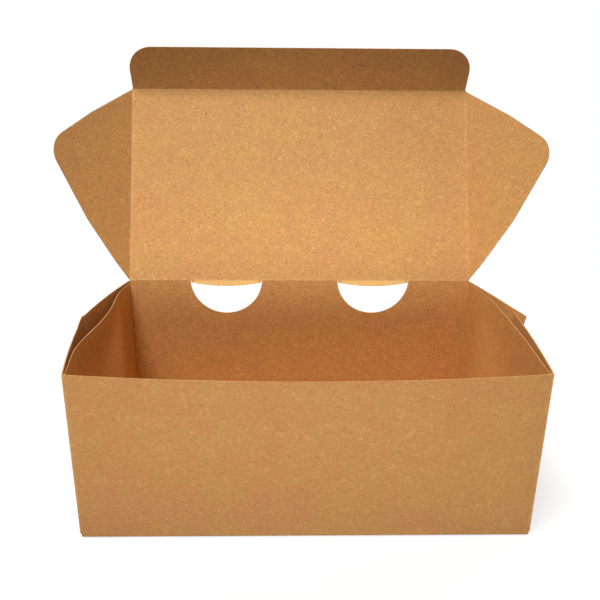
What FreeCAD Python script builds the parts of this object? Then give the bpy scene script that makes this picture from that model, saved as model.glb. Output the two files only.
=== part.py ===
"""Open takeaway box folded from one sheet of brown kraft board.

Millimetres, +Z up. The origin is on the surface the box stands on, at the centre of the footprint.
+X is to the right of someone who looks into the open box, and +Y points to the hinge at the back.

The tray is one folded solid: bottom, front, back, two side walls and four corner flaps that wrap
round the side walls and are glued to them low down, so that their top edges spring outwards.
The lid, its tuck flap and its two dust flaps are panels of the same sheet that move on their creases.
"""
import FreeCAD, Part
import math
import os

V = FreeCAD.Vector

# The sheet.
BOARD = 0.45                # thickness of the board
GLUE_FILM = 0.05            # glue between two layers of board

# The tray.
LENGTH = 200.0              # outside, left to right
DEPTH = 114.6               # outside, front to back, at the bottom
HEIGHT = 81.0               # outside, to the top edge of the front wall
FOLD_RADIUS = 1.6           # outside radius of the folds round the bottom
FRONT_BOW = 6.4             # how far the front wall's top edge springs forwards at its middle
FRONT_BOW_POWER = 0.8       # below 1, the bow starts more steeply at the corners
SIDE_DROP = 1.2             # the side walls end this far below the top edge
SIDE_TRIM = 1.0             # the side walls' upright edges stop this far from the front and back walls
SPRING_START = 14.0         # height at which the glued layers begin to spring apart
SPRING_POWER = 1.1          # how the springing grows from there to the top edge
PAN_RIM = 2.4               # the folds round the bottom end, and the corner flaps begin, at this height
BACK_FLAP = 54.0            # length of each corner flap on the back wall
FRONT_FLAP_LEFT = 61.8      # length of the corner flap at the front left
FRONT_FLAP_RIGHT = 66.4     # length of the corner flap at the front right
LAP_CLEAR = 0.15            # room between the two flaps where one lies over the other
GLUE_LENGTH = 26.0          # each glued patch, along the flap
GLUE_TALL = 7.0
GLUE_HEIGHT = 8.5           # of its centre, above the ground
GLUE_SHARE = 0.4            # its centre, as a share of the flap's length from the crease

# How far each corner flap's top corner stands out from the box.
SPRING_BACK_LEFT = 10.0
SPRING_FRONT_LEFT = 10.1
SPRING_BACK_RIGHT = 12.2
SPRING_FRONT_RIGHT = 8.7
# How much of that comes early along the flap: 1 is a straight flap, 2 one that is square at its end.
EARLY_BACK_LEFT = 1.5
EARLY_FRONT_LEFT = 1.4
EARLY_BACK_RIGHT = 1.25
EARLY_FRONT_RIGHT = 1.35

# The side walls' top edges wave: how far they stand out at most, and the wave as shares of the wall's
# length from the front, each with its share of that distance.
SIDE_WAVE_LEFT = 3.7
SIDE_WAVE_RIGHT = 4.8
LEFT_WAVE = ((0.0, 0.1), (0.1, 0.54), (0.2, 1.0), (0.33, 0.86), (0.46, 0.35), (0.55, 0.15),
             (0.7, 0.24), (0.83, 0.6), (0.94, 0.32), (1.0, 0.08))
RIGHT_WAVE = ((0.0, 0.07), (0.1, 0.23), (0.28, 0.62), (0.48, 0.85), (0.74, 1.0), (0.87, 0.69),
              (0.96, 0.27), (1.0, 0.08))

# Two round vents cross the fold between the back wall and the lid.
VENT_RADIUS = 20.9
VENT_X = 43.1               # centre, each side of the middle
VENT_RISE = 0.8             # centre, above the fold
TONGUE = 3.4                # the lid reaches this far past the fold into each vent, at the vent's middle
TONGUE_END = 1.3            # and this far at the tongue's ends, because its free edge is a shallow arc
TONGUE_CLEAR = 0.4          # between a tongue's ends and the vent's edge

# The lid.
LID_LENGTH = 113.75         # from its hinge to the crease of the tuck flap
LID_OPEN = 110.7            # degrees from shut, as it stands
LID_INSET = 0.5             # the dust flaps' creases lie this far inside the tray's outside width
LID_CLEAR = 0.12            # under the shut lid, above the top edge
CREASE_CLEAR = 0.05         # between two panels at a crease, at the tightest fold

# The tuck flap, folded towards the viewer as it stands.
TUCK_LENGTH = 25.4
TUCK_SIDE_CLEAR = 0.8       # inside the tray's outside width, each end
TUCK_CORNER = 14.0
TUCK_FOLD = 45.0            # degrees from flat, as it stands
TUCK_SHUT = 105.0           # degrees from flat when the lid is shut

# The dust flaps, one at each end of the lid.
DUST_FOLD_LEFT = 46.5       # degrees from flat, as they stand
DUST_FOLD_RIGHT = 43.0
DUST_SHUT = 114.0           # degrees from flat when the lid is shut
DUST_REACH = 51.5           # from the crease to the tip, before the tip is rounded
DUST_HEEL_CLEAR = 0.45      # their ends stop this far short of the hinge
DUST_TOE_CLEAR = 0.6        # and this far short of the tuck flap's crease
DUST_TIP_RADIUS = 13.0
DUST_KNEE_RADIUS = 20.0
# Corners of the outline: share of the reach out from the crease, share of the lid's length from the hinge.
DUST_HEEL = (0.18, 0.091)
DUST_KNEE = (0.532, 0.292)
DUST_TIP = (1.0, 0.629)
DUST_SHOULDER = (0.511, 0.823)

HALF_LENGTH = LENGTH / 2
HALF_DEPTH = DEPTH / 2
LAYER = BOARD + GLUE_FILM
SIDE_TOP = HEIGHT - SIDE_DROP
HINGE_Y = HALF_DEPTH - BOARD / 2
HINGE_Z = HEIGHT + LID_CLEAR + BOARD / 2
CREASE_X = HALF_LENGTH - LID_INSET
SPRING_LEVELS = (0.0, 0.3, 0.6, 0.8, 1.0)     # sections of a springing wall, bottom to top
BOW_STEPS = 12                                 # points along the bowed front edge
FLAP_STEPS = 8                                 # points along a corner flap
LAP_FROM, LAP_TO = 0.7, 0.92                   # an outer flap steps over the inner one between these shares
ROUND_SHARE = 0.94                             # of half the board's thickness, at the lid's creases


def spring(z):
    """Share of the full springing that a wall has at height z."""
    share = (z - SPRING_START) / (HEIGHT - SPRING_START)
    return max(share, 0.0) ** SPRING_POWER


def band(outer, z, turn):
    """Closed section of a wall at height z: its outer line, and the same line one board inside.

    turn is +1 where the inside lies to the left of the line's direction, and -1 to the right.
    """
    curve = Part.BSplineCurve()
    curve.interpolate([V(x, y, z) for x, y in outer])
    inner = []
    for x, y in outer:
        here = V(x, y, z)
        along = curve.tangent(curve.parameter(here))[0]
        inner.append(here + V(-along.y, along.x, 0) * (turn * BOARD))
    back = Part.BSplineCurve()
    back.interpolate(inner)
    first = V(*outer[0], z)
    last = V(*outer[-1], z)
    edges = [curve.toShape(), Part.makeLine(last, inner[-1]),
             back.toShape(), Part.makeLine(inner[0], first)]
    return Part.Wire(Part.__sortEdges__(edges))


def wall(line_at, levels, turn, ruled=False):
    """Solid wall through its sections at the given heights."""
    return Part.makeLoft([band(line_at(z), z, turn) for z in levels], True, ruled)


def springing_wall(line_at, top, turn):
    """A wall that is upright from the pan's rim up to SPRING_START and springs outwards above it."""
    lower = wall(line_at, (PAN_RIM, SPRING_START), turn, True)
    levels = [SPRING_START + share * (top - SPRING_START) for share in SPRING_LEVELS]
    return lower.fuse(wall(line_at, levels, turn))


def front_line(z):
    """The front wall's outer line, straight at the bottom and bowed at the top."""
    bow = FRONT_BOW * (z - PAN_RIM) / (HEIGHT - PAN_RIM)
    line = []
    for i in range(BOW_STEPS + 1):
        share = (1 - math.cos(math.pi * i / BOW_STEPS)) / 2
        out = bow * math.sin(math.pi * share) ** FRONT_BOW_POWER if 0 < i < BOW_STEPS else 0.0
        line.append((-HALF_LENGTH + LENGTH * share, -HALF_DEPTH - out))
    return line


def side_line(side, most, wave, z):
    """A side wall's outer line, from front to back."""
    start = -HALF_DEPTH + BOARD + SIDE_TRIM
    length = -2 * start
    return [(side * (HALF_LENGTH - LAYER + most * out * spring(z)), start + share * length)
            for share, out in wave]


def flap_line(side, end, length, reach, early, laps, z):
    """A corner flap's outer line from its crease. end is -1 at the front and +1 at the back."""
    line = []
    for i in range(FLAP_STEPS + 1):
        share = i / FLAP_STEPS
        out = reach * spring(z) * (early * share - (early - 1) * share ** 2)
        if laps:
            ramp = min(max((share - LAP_FROM) / (LAP_TO - LAP_FROM), 0.0), 1.0)
            out += (BOARD + LAP_CLEAR) * ramp ** 2 * (3 - 2 * ramp)
        run = max(share * length, BOARD / 2)
        line.append((side * (HALF_LENGTH + out), end * (HALF_DEPTH - run)))
    return line


def glue_spot(side, end, length):
    """The patch of glue that holds a corner flap to the side wall."""
    middle = V(side * (HALF_LENGTH - BOARD / 2 - LAYER / 2), end * (HALF_DEPTH - GLUE_SHARE * length),
               GLUE_HEIGHT)
    return Part.makeBox(LAYER, GLUE_LENGTH, GLUE_TALL, middle - V(LAYER, GLUE_LENGTH, GLUE_TALL) / 2)


def pan():
    """The bottom with its folds, up to the rim where the walls begin."""
    def rounded(half_x, half_y, floor, radius):
        box = Part.makeBox(2 * half_x, 2 * half_y, PAN_RIM - floor, V(-half_x, -half_y, floor))
        low = [e for e in box.Edges if e.BoundBox.ZMax < floor + BOARD / 2]
        return box.makeFillet(radius, low)
    half_x = HALF_LENGTH - LAYER
    outside = rounded(half_x, HALF_DEPTH, 0.0, FOLD_RADIUS)
    inside = rounded(half_x - BOARD, HALF_DEPTH - BOARD, BOARD, FOLD_RADIUS - BOARD)
    return outside.cut(inside)


def back_wall():
    """The flat back wall, with half of each round vent cut from its top edge."""
    plate = Part.makeBox(LENGTH, BOARD, HEIGHT - PAN_RIM, V(-HALF_LENGTH, HALF_DEPTH - BOARD, PAN_RIM))
    for x in (-VENT_X, VENT_X):
        hole = Part.makeCylinder(VENT_RADIUS, 3 * BOARD, V(x, HALF_DEPTH - 2 * BOARD, HEIGHT + VENT_RISE),
                                 V(0, 1, 0))
        plate = plate.cut(hole)
    return plate


def tray():
    """Bottom, walls and glued corner flaps as one folded solid."""
    pieces = [wall(front_line, (PAN_RIM, HEIGHT), 1, True), back_wall()]
    for side, most, wave in ((-1, SIDE_WAVE_LEFT, LEFT_WAVE), (1, SIDE_WAVE_RIGHT, RIGHT_WAVE)):
        pieces.append(springing_wall(lambda z: side_line(side, most, wave, z), SIDE_TOP, side))
    flaps = ((-1, -1, FRONT_FLAP_LEFT, SPRING_FRONT_LEFT, EARLY_FRONT_LEFT, True),
             (-1, 1, BACK_FLAP, SPRING_BACK_LEFT, EARLY_BACK_LEFT, False),
             (1, -1, FRONT_FLAP_RIGHT, SPRING_FRONT_RIGHT, EARLY_FRONT_RIGHT, False),
             (1, 1, BACK_FLAP, SPRING_BACK_RIGHT, EARLY_BACK_RIGHT, True))
    for side, end, length, reach, early, laps in flaps:
        pieces.append(springing_wall(lambda z: flap_line(side, end, length, reach, early, laps, z),
                                     HEIGHT, -side * end))
        pieces.append(glue_spot(side, end, length))
    return pan().multiFuse(pieces).removeSplitter()


def panel(outline, thickness=BOARD):
    """Flat panel, centred on its mid-plane, from points (across, along) of its outline."""
    points = [V(x, y, -thickness / 2) for x, y in outline]
    return Part.Face(Part.makePolygon(points + points[:1])).extrude(V(0, 0, thickness))


def round_corner(solid, x, y, radius):
    """Round the upright edge of a flat panel that stands nearest to (x, y)."""
    upright = [e for e in solid.Edges if e.BoundBox.ZLength > BOARD / 2
               and e.BoundBox.XLength < BOARD / 2 and e.BoundBox.YLength < BOARD / 2]
    nearest = min(upright, key=lambda e: math.hypot(e.BoundBox.XMin - x, e.BoundBox.YMin - y))
    return solid.makeFillet(radius, [nearest])


def crease_start(fold):
    """How far a panel starts from its crease, so that it clears the other one when folded by fold."""
    return BOARD / 2 * math.tan(math.radians(fold / 2)) + CREASE_CLEAR


def flat_lid():
    """The lid with round edges on its creases and a tongue over each vent. Its inner face is up."""
    half = CREASE_X + BOARD / 2
    near = -BOARD / 2
    far = LID_LENGTH + BOARD / 2
    plate = panel(((-half, near), (half, near), (half, far), (-half, far)))
    long_edges = [e for e in plate.Edges if e.BoundBox.ZLength < BOARD / 2]
    plate = plate.makeFillet(ROUND_SHARE * BOARD / 2, long_edges)
    centre = VENT_RISE - (HINGE_Z - HEIGHT)
    rise = TONGUE - TONGUE_END
    sweep = (VENT_RADIUS ** 2 + rise ** 2) / (2 * rise)       # radius of a tongue's free edge
    for x in (-VENT_X, VENT_X):
        disc = Part.makeCylinder(VENT_RADIUS - TONGUE_CLEAR, BOARD, V(x, centre, -BOARD / 2))
        arc = Part.makeCylinder(sweep, BOARD, V(x, sweep - TONGUE, -BOARD / 2))
        reach = Part.makeBox(LENGTH, TONGUE + BOARD, BOARD, V(x - HALF_LENGTH, -TONGUE, -BOARD / 2))
        plate = plate.fuse(disc.common(arc).common(reach))
    return plate.removeSplitter()


def flat_tuck_flap():
    half = HALF_LENGTH - TUCK_SIDE_CLEAR
    near = crease_start(TUCK_SHUT)
    flap = panel(((-half, near), (half, near), (half, TUCK_LENGTH), (-half, TUCK_LENGTH)))
    for x in (-half, half):
        flap = round_corner(flap, x, TUCK_LENGTH, TUCK_CORNER)
    return flap


def flat_dust_flap():
    """The right dust flap: its crease is the line x = 0, and the hinge of the lid is y = 0."""
    near = crease_start(DUST_SHUT)
    corners = [(out * DUST_REACH, along * LID_LENGTH)
               for out, along in (DUST_HEEL, DUST_KNEE, DUST_TIP, DUST_SHOULDER)]
    heel, knee, tip, shoulder = corners
    flap = panel(((near, DUST_HEEL_CLEAR), heel, knee, tip, shoulder, (near, LID_LENGTH - DUST_TOE_CLEAR)))
    flap = round_corner(flap, *tip, DUST_TIP_RADIUS)
    return round_corner(flap, *knee, DUST_KNEE_RADIUS)


def stand_open(shape):
    """Take a panel from the flat lid's own frame to where it stands on the open box."""
    shape.rotate(V(0, 0, 0), V(1, 0, 0), 180 - LID_OPEN)
    shape.translate(V(0, HINGE_Y, HINGE_Z))
    return shape


def lid():
    return stand_open(flat_lid())


def tuck_flap():
    flap = flat_tuck_flap()
    flap.rotate(V(0, 0, 0), V(1, 0, 0), TUCK_FOLD)
    flap.translate(V(0, LID_LENGTH, 0))
    return stand_open(flap)


def dust_flap(side):
    """The dust flap at the left (-1) or the right (+1)."""
    flap = flat_dust_flap()
    flap.rotate(V(0, 0, 0), V(0, 1, 0), -(DUST_FOLD_LEFT if side < 0 else DUST_FOLD_RIGHT))
    flap.translate(V(CREASE_X, 0, 0))
    if side < 0:
        flap = flap.mirror(V(0, 0, 0), V(1, 0, 0))
    return stand_open(flap)


NODES = {
    "tray": tray,
    "lid": lid,
    "tuck_flap": tuck_flap,
    "dust_flap_left": lambda: dust_flap(-1),
    "dust_flap_right": lambda: dust_flap(1),
}

os.makedirs("parts", exist_ok=True)
for name, make in NODES.items():
    shape = make()
    box = shape.BoundBox
    print(f"{name}: {len(shape.Solids)} solid, valid {shape.isValid()}, {shape.Volume:.0f} mm3, "
          f"x {box.XMin:.1f} to {box.XMax:.1f}, y {box.YMin:.1f} to {box.YMax:.1f}, "
          f"z {box.ZMin:.1f} to {box.ZMax:.1f}")
    shape.exportStep(f"parts/{name}.step")
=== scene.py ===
# %% [markdown]
# # A takeaway box folded from one sheet of kraft board
#
# The real object is a single sheet of brown board. It is die cut, creased, folded up and glued at its
# four corner flaps. Here it stands with its lid up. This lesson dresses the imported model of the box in
# Blender: first the camera and the studio, then the board itself, and then each panel with its folds.
#
# All lengths are metres, +Z is up, and +Y points to the hinge at the back.

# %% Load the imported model
import math

import bmesh
import bpy
from mathutils import Matrix, Vector


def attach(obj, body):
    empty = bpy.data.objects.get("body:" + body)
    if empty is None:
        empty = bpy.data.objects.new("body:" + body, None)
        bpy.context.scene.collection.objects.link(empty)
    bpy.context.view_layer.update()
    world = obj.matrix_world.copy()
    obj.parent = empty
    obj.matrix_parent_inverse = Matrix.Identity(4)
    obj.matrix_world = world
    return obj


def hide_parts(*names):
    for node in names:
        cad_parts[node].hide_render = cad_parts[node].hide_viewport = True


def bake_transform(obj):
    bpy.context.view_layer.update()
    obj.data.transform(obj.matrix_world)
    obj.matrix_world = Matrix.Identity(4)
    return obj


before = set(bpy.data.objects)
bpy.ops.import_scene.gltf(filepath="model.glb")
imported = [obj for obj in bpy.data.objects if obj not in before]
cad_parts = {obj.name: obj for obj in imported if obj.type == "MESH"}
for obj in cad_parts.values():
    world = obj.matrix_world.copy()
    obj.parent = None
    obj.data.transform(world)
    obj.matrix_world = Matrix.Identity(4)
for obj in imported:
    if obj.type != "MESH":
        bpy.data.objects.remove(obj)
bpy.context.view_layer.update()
MM = 0.001

# %% [markdown]
# ## The camera
#
# The picture was taken from a little above the open front, slightly left of the middle. A camera can be
# aimed with a Track To constraint, but this one has a slight roll and its lens axis is off the centre of
# the picture, so its three axes are worked out from yaw, pitch and roll and set as a matrix. The shift
# moves the lens axis to where the box's perspective lines say that it is.

# %% Camera
IMAGE_PIXELS = 600
FOCAL_PIXELS = 595.8
AXIS_PIXEL = (288.0, 264.1)
CAMERA_AT = Vector((-0.0129, -0.2733, 0.1969))
YAW = math.radians(-1.02)
PITCH = math.radians(17.72)
ROLL = math.radians(-0.43)

ahead = Vector((-math.sin(YAW) * math.cos(PITCH), math.cos(YAW) * math.cos(PITCH), -math.sin(PITCH)))
level = Vector((math.cos(YAW), math.sin(YAW), 0))
below = ahead.cross(level)
picture_right = math.cos(ROLL) * level + math.sin(ROLL) * below
picture_down = math.cos(ROLL) * below - math.sin(ROLL) * level

lens = bpy.data.cameras.new("camera")
lens.sensor_width = 36
lens.lens = FOCAL_PIXELS / IMAGE_PIXELS * lens.sensor_width
lens.shift_x = 0.5 - AXIS_PIXEL[0] / IMAGE_PIXELS
lens.shift_y = AXIS_PIXEL[1] / IMAGE_PIXELS - 0.5
lens.clip_start = 0.01
camera = bpy.data.objects.new("camera", lens)
turn = Matrix((picture_right, -picture_down, -ahead)).transposed().to_4x4()
camera.matrix_world = Matrix.Translation(CAMERA_AT) @ turn
bpy.context.scene.collection.objects.link(camera)
bpy.context.scene.camera = camera
bpy.context.scene.view_settings.view_transform = "Standard"
print("lens, mm:", round(lens.lens, 2), "shift:", round(lens.shift_x, 4), round(lens.shift_y, 4))

# %% [markdown]
# ## A way to write shader maths
#
# A finish needs dozens of nodes, and a formula is easier to read than a list of links. `Wire` holds one
# output of a node. Arithmetic on wires adds Math nodes, and `node` adds any other kind. The reflected
# operators let a plain number come first, as in `1 - mask`. Colours go through Mix nodes, because a Math
# node would turn them grey. A Mix node gives its number, vector and colour sockets the same names, so the
# colour ones are picked by their places: 0 is the factor, 6 and 7 the two colours, and 2 the result.

# %% Wires


class Wire:
    """One output of a node in a material."""

    def __init__(self, tree, socket=None):
        self.tree = tree
        self.socket = socket

    def node(self, kind, settings=None, inputs=None, output=0):
        """Adds a node, with its settings first and then the values or wires of its inputs."""
        node = self.tree.nodes.new(kind)
        for name, value in (settings or {}).items():
            setattr(node, name, value)
        for name, value in (inputs or {}).items():
            if isinstance(value, Wire):
                self.tree.links.new(value.socket, node.inputs[name])
            else:
                node.inputs[name].default_value = value
        return Wire(self.tree, node.outputs[output] if len(node.outputs) else None)

    def maths(self, operation, first, second):
        return self.node("ShaderNodeMath", {"operation": operation}, {0: first, 1: second})

    def __add__(self, other):
        return self.maths("ADD", self, other)

    def __sub__(self, other):
        return self.maths("SUBTRACT", self, other)

    def __mul__(self, other):
        return self.maths("MULTIPLY", self, other)

    def __rsub__(self, other):
        return self.maths("SUBTRACT", other, self)

    __radd__ = __add__
    __rmul__ = __mul__

    def __abs__(self):
        return self.maths("ABSOLUTE", self, 0)

    def least(self, other):
        return self.maths("MINIMUM", self, other)

    def most(self, other):
        return self.maths("MAXIMUM", self, other)

    def rise(self, low, high):
        """0 below low, 1 above high, and a smooth step between. It falls where low is the larger."""
        settings = {"interpolation_type": "SMOOTHSTEP"}
        sockets = {"Value": self, "From Min": low, "From Max": high, "To Min": 0, "To Max": 1}
        return self.node("ShaderNodeMapRange", settings, sockets)

    def mixed(self, first, second):
        """The two colours, mixed with this wire as the factor."""
        return self.node("ShaderNodeMix", {"data_type": "RGBA"}, {0: self, 6: first, 7: second}, 2)

    def shaded(self, shade):
        """This colour times a number, which makes it lighter or darker."""
        grey = self.node("ShaderNodeCombineColor", inputs={0: shade, 1: shade, 2: shade})
        settings = {"data_type": "RGBA", "blend_type": "MULTIPLY"}
        return self.node("ShaderNodeMix", settings, {0: 1, 6: self, 7: grey}, 2)

    def vector(self, operation, other=(0, 0, 0), output=0):
        """Vector Math with this wire as the first vector. Its output "Value" is a plain number."""
        return self.node("ShaderNodeVectorMath", {"operation": operation}, {0: self, 1: other}, output)


def srgb(red, green, blue):
    """A colour as a screen shows it, turned to the linear values that a shader needs."""
    parts = [v / 255 for v in (red, green, blue)]
    return tuple(v / 12.92 if v <= 0.04045 else ((v + 0.055) / 1.055) ** 2.4 for v in parts) + (1,)


print("the middle grey of a screen, linear:", round(srgb(128, 128, 128)[0], 3))

# %% [markdown]
# ## The floor and the backdrop
#
# The box stands on white. A white surface that lit the box would wash out its brown folds, so the floor
# is a dull grey to the light, and pale only to the camera and to gloss. A glow is added there to
# bring it near white, and what is left of its own shading keeps the box's soft shadow. Further out it
# turns to plain white, and so does the world behind it, so that no edge of the floor is seen.

# %% Floor and backdrop
FLOOR_SIZE = 6.0
FLOOR_GREY = (0.1, 0.1, 0.1, 1)
FLOOR_PALE = (0.42, 0.42, 0.42, 1)
FLOOR_GLOW = 0.62
SHADOW_NEAR = 0.2
SHADOW_FAR = 0.6


def seen_directly(start):
    """1 for rays from the camera, or by way of gloss or glass."""
    path = start.node("ShaderNodeLightPath")
    outputs = {s.name: Wire(start.tree, s) for s in path.socket.node.outputs}
    return outputs["Is Camera Ray"].most(outputs["Is Glossy Ray"]).most(outputs["Is Transmission Ray"])


def floor_finish():
    material = bpy.data.materials.new("studio_floor")
    material.use_nodes = True
    material.node_tree.nodes.clear()
    start = Wire(material.node_tree)
    away = start.node("ShaderNodeTexCoord", output="Object").vector("LENGTH", output="Value")
    seen = seen_directly(start)
    grey = start.node("ShaderNodeBsdfDiffuse", inputs={"Color": seen.mixed(FLOOR_GREY, FLOOR_PALE)})
    glow = start.node("ShaderNodeEmission", inputs={"Strength": seen * FLOOR_GLOW})
    close = start.node("ShaderNodeAddShader", inputs={0: grey, 1: glow})
    white = start.node("ShaderNodeEmission", inputs={"Strength": 1})
    far = seen * away.rise(SHADOW_NEAR, SHADOW_FAR)
    both = start.node("ShaderNodeMixShader", inputs={0: far, 1: close, 2: white})
    start.node("ShaderNodeOutputMaterial", inputs={"Surface": both})
    return material


sheet = bmesh.new()
bmesh.ops.create_grid(sheet, x_segments=1, y_segments=1, size=FLOOR_SIZE / 2)
floor_mesh = bpy.data.meshes.new("floor")
sheet.to_mesh(floor_mesh)
sheet.free()
floor_mesh.materials.append(floor_finish())
floor = bpy.data.objects.new("floor", floor_mesh)
bpy.context.scene.collection.objects.link(floor)

world = bpy.data.worlds.new("studio")
world.use_nodes = True
world.node_tree.nodes.clear()
start = Wire(world.node_tree)
sky = start.node("ShaderNodeBackground", inputs={"Color": (1, 1, 1, 1), "Strength": seen_directly(start)})
start.node("ShaderNodeOutputWorld", inputs={"Surface": sky})
bpy.context.scene.world = world
print("floor, m:", FLOOR_SIZE, "with its shadow out to", SHADOW_FAR)

# %% [markdown]
# ## The lamps
#
# The light comes mostly from high in front and a little to the left. It lights the lid well and the front
# wall only at a slant, and it leaves the underside of the tuck flap in shade, which is what gives the
# open box its shape. A small low lamp lifts the front wall. Its beam is narrow, which gathers its light,
# so a small share is enough. Two lamps behind show the back of the box in other views, and hardly change
# what the camera sees.

# %% Lamps
# name: direction to the lamp, distance, size, share of full light, and angle of its beam
LAMPS = {
    "high_front": ((-0.2, -0.3, 0.93), 1.6, 0.5, 0.84, 180),
    "low_front": ((0, -1, 0.05), 0.5, 0.3, 0.085, 40),
    "back_left": ((-0.7, 0.6, 0.4), 1.6, 0.8, 0.4, 180),
    "back_right": ((0.7, 0.6, 0.4), 1.6, 0.8, 0.5, 180),
}


def soft_lamp(name, direction, distance, size, share, beam):
    """A square lamp that lights a surface facing it to `share` of that surface's own colour."""
    lamp = bpy.data.lights.new(name, "AREA")
    lamp.shape = "SQUARE"
    lamp.size = size
    lamp.spread = math.radians(beam)
    # The power spreads over pi * distance ** 2, and a matt surface sends 1 / pi of what it gets back.
    lamp.energy = math.pi ** 2 * distance ** 2 * share
    stand = bpy.data.objects.new(name, lamp)
    away = Vector(direction).normalized()
    aim = away.to_track_quat("Z", "Y").to_matrix().to_4x4()
    stand.matrix_world = Matrix.Translation(away * distance) @ aim
    stand.visible_camera = False
    bpy.context.scene.collection.objects.link(stand)


for name, settings in LAMPS.items():
    soft_lamp(name, *settings)
print("lamps:", ", ".join(LAMPS))

# %% [markdown]
# ## The pattern of the board
#
# Kraft board is pressed from long brown fibres that were never bleached. Close to, it is not one brown:
# it has soft clouds where the fibres lie thicker, fine grain, thin curled fibres, and a few dark specks
# of bark. All of that comes from noise on the object's own coordinates, in metres, so that each size
# below is about the real size of what it draws. The fibres lie mostly along X, so the grain is drawn out
# a little that way. A photographed texture would be quicker, but it would stretch over the folds and
# would not follow the size of the part.

# %% Sizes of the pattern
DRIFT = 60 * MM
CLOUD = 11 * MM
GRAIN = 0.9 * MM
FLECK = 1.2 * MM
LONG_FIBRE = 4 * MM
FINE_FIBRE = 1.8 * MM
ALONG_GRAIN = (0.85, 1, 1)
print("pattern sizes, mm:", [round(v / MM, 1) for v in (DRIFT, CLOUD, LONG_FIBRE, FLECK, GRAIN)])

# %% Noise and curled fibres
CURL = 1.2
FIBRE_LINE = (0.008, 0.03)
FIBRE_STAYS = (0.5, 0.58)
SECOND_PLACE = (0.3, 0.1, 0.2)
SECOND_SIZE = 1.3


def noise(place, size, detail=2.0, distortion=0.0):
    """Soft noise, mostly 0.35 to 0.65, whose patches are about `size` across."""
    values = {"Vector": place, "Scale": 1 / size, "Detail": detail, "Distortion": distortion}
    return place.node("ShaderNodeTexNoise", inputs=values)


def curled_fibres(place, size):
    """Thin curled lines: where one noise crosses its middle value, cut short by a second noise."""
    line = 1 - abs(noise(place, size, detail=1, distortion=CURL) - 0.5).rise(*FIBRE_LINE)
    second = noise(place.vector("ADD", SECOND_PLACE), size * SECOND_SIZE, detail=0)
    return line * second.rise(*FIBRE_STAYS)


print("sizes of the curls, mm:", round(LONG_FIBRE / MM, 1), "and", round(FINE_FIBRE / MM, 1))

# %% Specks of bark
SPECK_CELL = 7 * MM
SPECK_RADIUS = 0.055
SPECK_CHANCE = 0.2
SPECK_RAMP = 0.01


def bark_specks(place):
    """Sparse dark dots: a few of the cells of a Voronoi pattern, each with its own random number."""
    cells = {"Vector": place, "Scale": 1 / SPECK_CELL}
    dots = 1 - place.node("ShaderNodeTexVoronoi", inputs=cells).rise(SPECK_RADIUS / 2, SPECK_RADIUS)
    random_colour = place.node("ShaderNodeTexVoronoi", inputs=cells, output="Color")
    chance = place.node("ShaderNodeSeparateColor", inputs={0: random_colour})
    return dots * chance.rise(1 - SPECK_CHANCE, 1 - SPECK_CHANCE + SPECK_RAMP)


print("a speck is at most", round(2 * SPECK_RADIUS * SPECK_CELL / MM, 2), "mm wide")

# %% [markdown]
# ## The browns
#
# The inside of such a box is the rough side of the board and its outside is the smoother one. Each has
# two browns that the clouds mix. The outside's are a little redder, and its fibres show less. The fibres
# and the bark are laid over the browns, each by its own share. A painted image would do this too, but
# only for one size of box.

# %% Browns of the board
KRAFT_INSIDE = (srgb(213, 156, 95), srgb(211, 158, 93))
KRAFT_OUTSIDE = (srgb(212, 149, 90), srgb(207, 151, 88))
CORE = (srgb(200, 146, 92), srgb(198, 146, 90))
PALE_FIBRE = srgb(240, 190, 122)
DARK_FIBRE = srgb(146, 88, 44)
BARK = srgb(96, 58, 32)
WORN = srgb(232, 184, 126)
# Painted highlight for the tongues at the vents: a pale colour that stands in for the light they catch.
TONGUE_HIGHLIGHT = srgb(252, 205, 125)
print("kraft brown inside, linear:", [round(v, 3) for v in KRAFT_INSIDE[0]])

# %% Fibres in the brown
HUE_CHANGES = (0.36, 0.64)
PALE_FLECKS = (0.56, 0.7)
DARK_FLECKS = (0.38, 0.26)
FLECK_SHARE = 0.35
LONG_SHARE = 0.4
FINE_SHARE = 0.3
BARK_SHARE = 0.6


def fibrous_brown(browns, contrast, place, clouds, flecks, long_fibres, fine_fibres):
    """The two browns mixed by the clouds, with flecks, fibres and bark laid over them."""
    colour = clouds.rise(*HUE_CHANGES).mixed(*browns)
    colour = (flecks.rise(*PALE_FLECKS) * (FLECK_SHARE * contrast)).mixed(colour, PALE_FIBRE)
    colour = (flecks.rise(*DARK_FLECKS) * (FLECK_SHARE * contrast)).mixed(colour, DARK_FIBRE)
    colour = (long_fibres * (LONG_SHARE * contrast)).mixed(colour, PALE_FIBRE)
    colour = (fine_fibres * (FINE_SHARE * contrast)).mixed(colour, DARK_FIBRE)
    return (bark_specks(place) * BARK_SHARE).mixed(colour, BARK)


print("shares of flecks, long and fine fibres, bark:", FLECK_SHARE, LONG_SHARE, FINE_SHARE, BARK_SHARE)

# %% [markdown]
# ## Wear along the folds
#
# A crease crushes the fibres, and the board is a little paler and raised along it, most of all where it
# gets handled. The wear could be painted on the points of the mesh, but a flat panel has points only at
# its corners. So the distance to a crease is worked out in the shader, from the crease's two end points,
# and the wear follows it however the panel is cut up into faces.

# %% Distance to a fold, and what is rubbed
WEAR_WIDTH = 1.5 * MM
RAGGED = 4 * MM
RUBBED_GRAIN = (0.3, 0.6)
RUBBED_LEAST = 0.4


def fold_distance(place, fold):
    """Distance to a fold, which is a straight line between two points."""
    begin, end = (Vector(point) for point in fold)
    run = (end - begin).normalized()
    offset = place.vector("SUBTRACT", begin)
    along = offset.vector("DOT_PRODUCT", run, "Value").most(0).least((end - begin).length)
    nearest = place.node("ShaderNodeVectorMath", {"operation": "SCALE"}, {0: run, "Scale": along})
    return offset.vector("SUBTRACT", nearest).vector("LENGTH", output="Value")


def nearest_fold(place, folds):
    """Distance to whichever fold is nearest."""
    near = fold_distance(place, folds[0])
    for fold in folds[1:]:
        near = near.least(fold_distance(place, fold))
    return near


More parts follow.
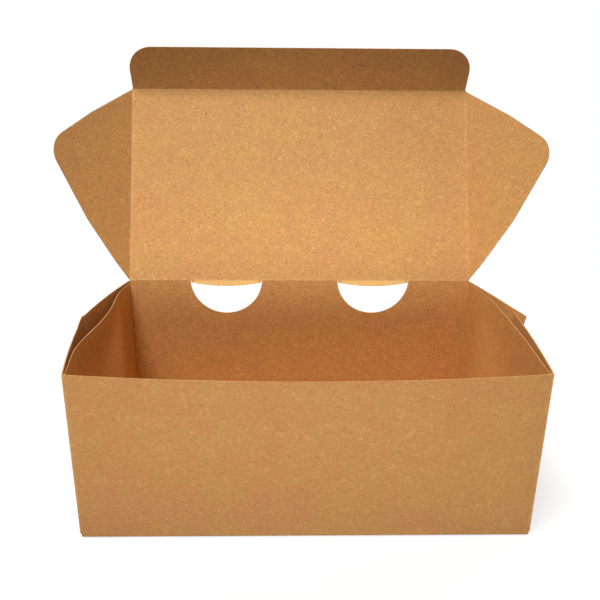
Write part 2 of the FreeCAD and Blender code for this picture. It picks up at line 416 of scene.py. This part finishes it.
def rubbed(place, near, grain):
    """Most on a fold and 0 away from it, with a ragged border, and less where the grain is low."""
    ragged = (noise(place, RAGGED) - 0.5) * (2 * WEAR_WIDTH)
    line = 1 - (near + ragged).rise(0, WEAR_WIDTH)
    return line * (grain.rise(*RUBBED_GRAIN) * (1 - RUBBED_LEAST) + RUBBED_LEAST)


print("wear fades within about", round(WEAR_WIDTH / MM, 1), "mm of a fold")

# %% [markdown]
# ## The finish of the board
#
# One function puts the finish together, and it is used for the inside, the outside and the cut edges with
# other browns and another contrast. The clouds and the grain change the shade, and the grain, the flecks
# and the long fibres are also raised, by a Bump node: they are far too shallow to be worth modelling. The
# roughness follows the grain, and the board has little gloss.

# %% Kraft board
INSIDE, OUTSIDE = 1.0, 0.65
GRAIN_SHADE = 0.5
CLOUD_SHADE = 0.12
GRAIN_DEPTH = 0.05 * MM
BUMP_STRENGTH = 0.5
FLECK_HEIGHT, FIBRE_HEIGHT, BEAD_HEIGHT = 0.6, 0.5, 2
BEAD_WIDTH = 0.7 * MM
# Painted highlight along the tongues: its width, and how much of the pale colour it lays on.
HIGHLIGHT_WIDTH = 3.2 * MM
HIGHLIGHT_SHARE = 0.85
LEAST_ROUGH, ROUGH_CHANGE = 0.45, 0.3
GLOSS = 0.2


def kraft_board(name, contrast, browns, folds=(), wear=0.0, highlight_lines=()):
    """The board's finish, worn along its folds, with a painted highlight along each given line."""
    material = bpy.data.materials.new(name)
    material.use_nodes = True
    material.node_tree.nodes.clear()
    start = Wire(material.node_tree)
    place = start.node("ShaderNodeTexCoord", output="Object")
    grained = place.vector("MULTIPLY", ALONG_GRAIN)
    clouds = noise(place, DRIFT, detail=1) + noise(place, CLOUD) - 0.5
    grain, flecks = noise(grained, GRAIN, detail=3), noise(grained, FLECK, detail=1)
    long_fibres, fine_fibres = curled_fibres(grained, LONG_FIBRE), curled_fibres(place, FINE_FIBRE)
    colour = fibrous_brown(browns, contrast, place, clouds, flecks, long_fibres, fine_fibres)
    height = grain + flecks * FLECK_HEIGHT + long_fibres * FIBRE_HEIGHT
    if folds:
        near = nearest_fold(place, folds)
        colour = (rubbed(place, near, grain) * wear).mixed(colour, WORN)
        height = height + (1 - near.rise(0, BEAD_WIDTH)) * BEAD_HEIGHT
    # Painted highlight: the colour turns pale along each given line, standing in for light on the tongues.
    for highlight_line in highlight_lines:
        highlight_mask = 1 - fold_distance(place, highlight_line).rise(HIGHLIGHT_WIDTH / 2, HIGHLIGHT_WIDTH)
        colour = (highlight_mask * HIGHLIGHT_SHARE).mixed(colour, TONGUE_HIGHLIGHT)
    shade = (grain - 0.5) * (GRAIN_SHADE * contrast) + (clouds - 0.5) * CLOUD_SHADE + 1
    bump = start.node("ShaderNodeBump", inputs={
        "Strength": BUMP_STRENGTH, "Distance": GRAIN_DEPTH, "Height": height})
    shader = start.node("ShaderNodeBsdfPrincipled", inputs={
        "Base Color": colour.shaded(shade), "Roughness": grain * ROUGH_CHANGE + LEAST_ROUGH,
        "Specular IOR Level": GLOSS, "Normal": bump})
    start.node("ShaderNodeOutputMaterial", inputs={"Surface": shader})
    print(name, "has", len(material.node_tree.nodes), "nodes")
    return material


# %% [markdown]
# ## The panels
#
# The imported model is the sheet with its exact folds, bows and cuts, so the panels start as copies of it.
# They could be modelled again from flat sheets with a Solidify modifier, but then the bows and the vents
# would have to be matched twice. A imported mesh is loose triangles, so the copy is merged first, and
# triangles that lie in one plane are joined into whole faces.
#
# Three finishes go on each panel: the inside, the cut edges and the outside. A cut edge is a run of
# faces, between sharp edges, that is no wider than the board is thick. It shows the core of the board. A
# face of the outside looks away from the middle of the tray, also on the raised lid and its flaps.

# %% Copies of the panels
SAME_POINT = 0.002 * MM
FLAT = math.radians(0.3)
SHARP = math.radians(35)
BOARD = 0.45 * MM
TRAY_MIDDLE = Vector((0, 0, 40 * MM))
IN, CUT, OUT = 0, 1, 2


def clean_copy(node):
    """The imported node's shape with its points merged and its flat triangles joined."""
    shape = bmesh.new()
    shape.from_mesh(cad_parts[node].data)
    bmesh.ops.remove_doubles(shape, verts=shape.verts, dist=SAME_POINT)
    bmesh.ops.dissolve_limit(shape, angle_limit=FLAT, use_dissolve_boundaries=False,
                             verts=shape.verts, edges=shape.edges)
    shape.normal_update()
    print(node, "is", len(shape.faces), "faces after its flat triangles are joined")
    return shape


def is_sharp(edge):
    return edge.calc_face_angle(0) > SHARP


def smooth_runs(shape):
    """The faces in groups that no sharp edge divides."""
    seen = set()
    for first in shape.faces:
        if first not in seen:
            run = [first]
            seen.add(first)
            for face in run:
                for edge in face.edges:
                    if not is_sharp(edge):
                        fresh = [other for other in edge.link_faces if other not in seen]
                        run += fresh
                        seen.update(fresh)
            yield run


def choose_finishes(shape):
    """Gives each face the inside, the cut edge or the outside as its material."""
    for run in smooth_runs(shape):
        area = sum(face.calc_area() for face in run)
        rim = sum(edge.calc_length() for face in run for edge in face.edges if is_sharp(edge))
        for face in run:
            outward = (face.calc_center_median() - TRAY_MIDDLE).dot(face.normal) > 0
            face.material_index = CUT if area < BOARD * rim else OUT if outward else IN
    return [sum(face.material_index == kind for face in shape.faces) for kind in (IN, CUT, OUT)]


# %% [markdown]
# ## From a copy to a piece
#
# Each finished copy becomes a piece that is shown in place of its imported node, and rides on the same
# body. A die leaves no perfectly sharp edge, so a Bevel modifier breaks each cut by a few hundredths of a
# millimetre, and that is what catches the light. Weighted normals keep the wide panels looking flat
# beside those narrow faces.

# %% Finishes of a piece
cut_edge = kraft_board("cut_edge", INSIDE, CORE)


def both_sides(name, folds, wear, highlight_lines=()):
    """The finishes for a piece: inside, cut edge and outside."""
    return (kraft_board(name + "_inside", INSIDE, KRAFT_INSIDE, folds, wear, highlight_lines), cut_edge,
            kraft_board(name + "_outside", OUTSIDE, KRAFT_OUTSIDE, folds, wear))


# %% Pieces
CUT_ROUND = 0.04 * MM
SMOOTH_BELOW = math.radians(20)


def shown(shape, name, finishes, smooth_below):
    """An object made from a bmesh, with its finishes and its smooth faces."""
    mesh = bpy.data.meshes.new(name)
    shape.to_mesh(mesh)
    shape.free()
    mesh.polygons.foreach_set("use_smooth", [True] * len(mesh.polygons))
    mesh.set_sharp_from_angle(angle=smooth_below)
    for finish in finishes:
        mesh.materials.append(finish)
    piece = bpy.data.objects.new(name, mesh)
    bpy.context.scene.collection.objects.link(piece)
    return piece


def panel_piece(shape, node, finishes):
    counts = choose_finishes(shape)
    piece = shown(shape, node + "_board", finishes, SMOOTH_BELOW)
    bevel = piece.modifiers.new("cut_edges", "BEVEL")
    bevel.limit_method = "ANGLE"
    bevel.angle_limit = SHARP
    bevel.width = CUT_ROUND
    bevel.segments = 1
    bevel.profile = 0.5
    bevel.material = -1
    bevel.use_clamp_overlap = False
    even = piece.modifiers.new("flat_panels", "WEIGHTED_NORMAL")
    even.keep_sharp = True
    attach(piece, node)
    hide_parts(node)
    print(piece.name, "has", counts, "faces inside, on its cut edges and outside")
    return piece


print("bevel of the cut edges, mm:", round(CUT_ROUND / MM, 3))

# %% [markdown]
# ## The tray
#
# The tray is the bottom, the four walls and the four corner flaps. Its walls are bowed by the spring of
# the board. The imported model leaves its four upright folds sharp, and folded board never is, so those
# edges get a small radius with a bevel. Where it runs out at the rim it leaves points that lie on top of
# each other, so they are merged afterwards. The tray's nine folds are the four uprights, the four round
# the bottom and the hinge fold, which is only worn on the lid's side.

# %% Tray
TRAY_X, TRAY_Y, TRAY_TOP = 100 * MM, 57.3 * MM, 81 * MM
TRAY_WEAR = 0.5
UPRIGHT_ROUND = 0.45 * MM
UPRIGHT_NEAR = 0.05 * MM
RIM_POINT = 0.005 * MM


def is_upright_fold(edge):
    """An outer corner of the tray, from the bottom to the top."""
    ends = [(abs(v.co.x) - TRAY_X, abs(v.co.y) - TRAY_Y) for v in edge.verts]
    return is_sharp(edge) and all(abs(gap) < UPRIGHT_NEAR for end in ends for gap in end)


corners = [(x, y) for x in (-TRAY_X, TRAY_X) for y in (-TRAY_Y, TRAY_Y)]
tray_folds = [((x, y, 0), (x, y, TRAY_TOP)) for x, y in corners]
tray_folds += [((-TRAY_X, y, 0), (TRAY_X, y, 0)) for y in (-TRAY_Y, TRAY_Y)]
tray_folds += [((x, -TRAY_Y, 0), (x, TRAY_Y, 0)) for x in (-TRAY_X, TRAY_X)]
tray = clean_copy("tray")
uprights = [edge for edge in tray.edges if is_upright_fold(edge)]
upright_length = sum(edge.calc_length() for edge in uprights)
bmesh.ops.bevel(tray, geom=uprights, offset=UPRIGHT_ROUND, offset_type="OFFSET", segments=4, profile=0.5,
                affect="EDGES", material=-1, clamp_overlap=False)
bmesh.ops.remove_doubles(tray, verts=tray.verts, dist=RIM_POINT)
panel_piece(tray, "tray", both_sides("tray", tray_folds, TRAY_WEAR))
print("upright folds rounded, mm:", round(upright_length / MM, 1))

# %% [markdown]
# ## The lid and its flaps
#
# The lid is one panel with the tuck flap across its far end and a dust flap on each side. All four are
# cut from the same piece of board, so they share one pair of finishes, whose pattern runs on from panel
# to panel across the creases. Two short tongues are left standing on the hinge fold where the round
# vents are cut. Their inside finish gets a painted highlight, a pale streak that stands in for the light
# they catch, and it makes them the palest spots on the box.

# %% Lid and its flaps
HINGE = Vector((0, 57.075 * MM, 81.345 * MM))
LID_LEAN = math.radians(20.7)
UP_LID = Vector((0, math.sin(LID_LEAN), math.cos(LID_LEAN)))
LID_IN = Vector((0, -UP_LID.z, UP_LID.y))
RIGHT = Vector((1, 0, 0))
LID_LENGTH = 113.75 * MM
LID_END = HINGE + UP_LID * LID_LENGTH
CREASE_HALF = RIGHT * 99.5 * MM
VENT_X = 43.1 * MM
TONGUE_HALF = RIGHT * 17 * MM
TONGUE_DOWN = 2.5 * MM
LID_WEAR = 0.35

hinge_fold = (HINGE - CREASE_HALF, HINGE + CREASE_HALF)
tuck_fold = (LID_END - CREASE_HALF, LID_END + CREASE_HALF)
left_fold = (hinge_fold[0], tuck_fold[0])
right_fold = (hinge_fold[1], tuck_fold[1])
tongue_spots = [HINGE - UP_LID * TONGUE_DOWN + RIGHT * x for x in (-VENT_X, VENT_X)]
tongues = [(spot - TONGUE_HALF, spot + TONGUE_HALF) for spot in tongue_spots]
# The tongue lines carry the painted highlight into the inside finish.
lid_finishes = both_sides("lid", [hinge_fold, tuck_fold, left_fold, right_fold], LID_WEAR, tongues)
for node in ("lid", "tuck_flap", "dust_flap_left", "dust_flap_right"):
    panel_piece(clean_copy(node), node, lid_finishes)

# %% [markdown]
# ## The moving creases
#
# On the real box a crease is the same board, bent. Between two packed panels there is a hair of clear
# space instead, which lets light through and opens as the flaps turn. A strip of board closes it. Each
# strip is cut across into narrow faces and bent to the angle at which the box stands. It is a hair
# thinner than the board, so that it never shows beside the panels. The hinge has three strips, because
# the vents cut it.

# %% Crease strips
STRIP_REACH = 0.55 * MM
STRIP_BEND = 0.3 * MM
STRIP_THICK = 0.43 * MM
STRIP_STEPS = 10


def crease_strip(name, ends, into_a, into_b, body_b):
    """A strip of board along a crease. into_a and into_b point from the crease into the two panels."""
    begin, end = ends
    middle = (begin + end) / 2
    along = (end - begin).normalized()
    across = -into_a
    face = along.cross(across)
    fold = math.atan2(into_b.dot(face), into_b.dot(across))
    strip = bmesh.new()
    bmesh.ops.create_cube(strip, size=1)
    bmesh.ops.scale(strip, vec=((end - begin).length, 2 * STRIP_REACH, STRIP_THICK), verts=strip.verts)
    for step in range(1, STRIP_STEPS):
        place = (2 * step / STRIP_STEPS - 1) * STRIP_REACH
        bmesh.ops.bisect_plane(strip, geom=strip.verts[:] + strip.edges[:] + strip.faces[:],
                               plane_co=(0, place, 0), plane_no=(0, 1, 0))
    for vert in strip.verts:
        share = min(max(vert.co.y / STRIP_BEND / 2 + 0.5, 0), 1)
        smooth_share = share * share * (3 - 2 * share)
        turn = Matrix.Rotation(fold * smooth_share, 3, "X")
        bmesh.ops.rotate(strip, cent=(0, 0, 0), matrix=turn, verts=[vert])
    stand = Matrix((along, across, face)).transposed().to_4x4()
    stand.translation = middle
    bmesh.ops.transform(strip, matrix=stand, verts=strip.verts)
    piece = shown(strip, name, lid_finishes[:1], SHARP)
    middle + into_a * STRIP_BEND
    middle + into_b * STRIP_BEND
    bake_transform(piece)
    print(name, "bends", round(math.degrees(fold), 1), "degrees at rest")


# %% [markdown]
# ## Where the strips go
#
# Each strip stops just short of the ends of its crease, where the real board is notched. The tuck flap
# stands folded by 45 degrees, and the dust flaps by a little more on the left than on the right, as on
# a real box that has been opened by hand.

# %% Six creases
VENT_EDGE = 21 * MM
HINGE_HALF = 99.4 * MM
TUCK_HALF = 99.1 * MM
DUST_START = 0.5 * MM
DUST_STOP = 0.65 * MM
TUCK_FOLD = math.radians(45)
DUST_FOLDS = {"left": (-1, left_fold, math.radians(46.5)), "right": (1, right_fold, math.radians(43))}
DOWN = Vector((0, 0, -1))

hinge_runs = {
    "left": (-HINGE_HALF, -VENT_X - VENT_EDGE),
    "middle": (-VENT_X + VENT_EDGE, VENT_X - VENT_EDGE),
    "right": (VENT_X + VENT_EDGE, HINGE_HALF),
}
for side, (low_x, high_x) in hinge_runs.items():
    ends = (HINGE + RIGHT * low_x, HINGE + RIGHT * high_x)
    crease_strip("hinge_crease_" + side, ends, DOWN, UP_LID, "lid")
into_tuck = math.cos(TUCK_FOLD) * UP_LID + math.sin(TUCK_FOLD) * LID_IN
ends = (LID_END - RIGHT * TUCK_HALF, LID_END + RIGHT * TUCK_HALF)
crease_strip("tuck_crease", ends, -UP_LID, into_tuck, "tuck_flap")
for side, (sign, fold_line, angle) in DUST_FOLDS.items():
    into_dust = math.cos(angle) * sign * RIGHT + math.sin(angle) * LID_IN
    ends = (fold_line[0] + UP_LID * DUST_START, fold_line[1] - UP_LID * DUST_STOP)
    crease_strip("dust_crease_" + side, ends, -sign * RIGHT, into_dust, "dust_flap_" + side)
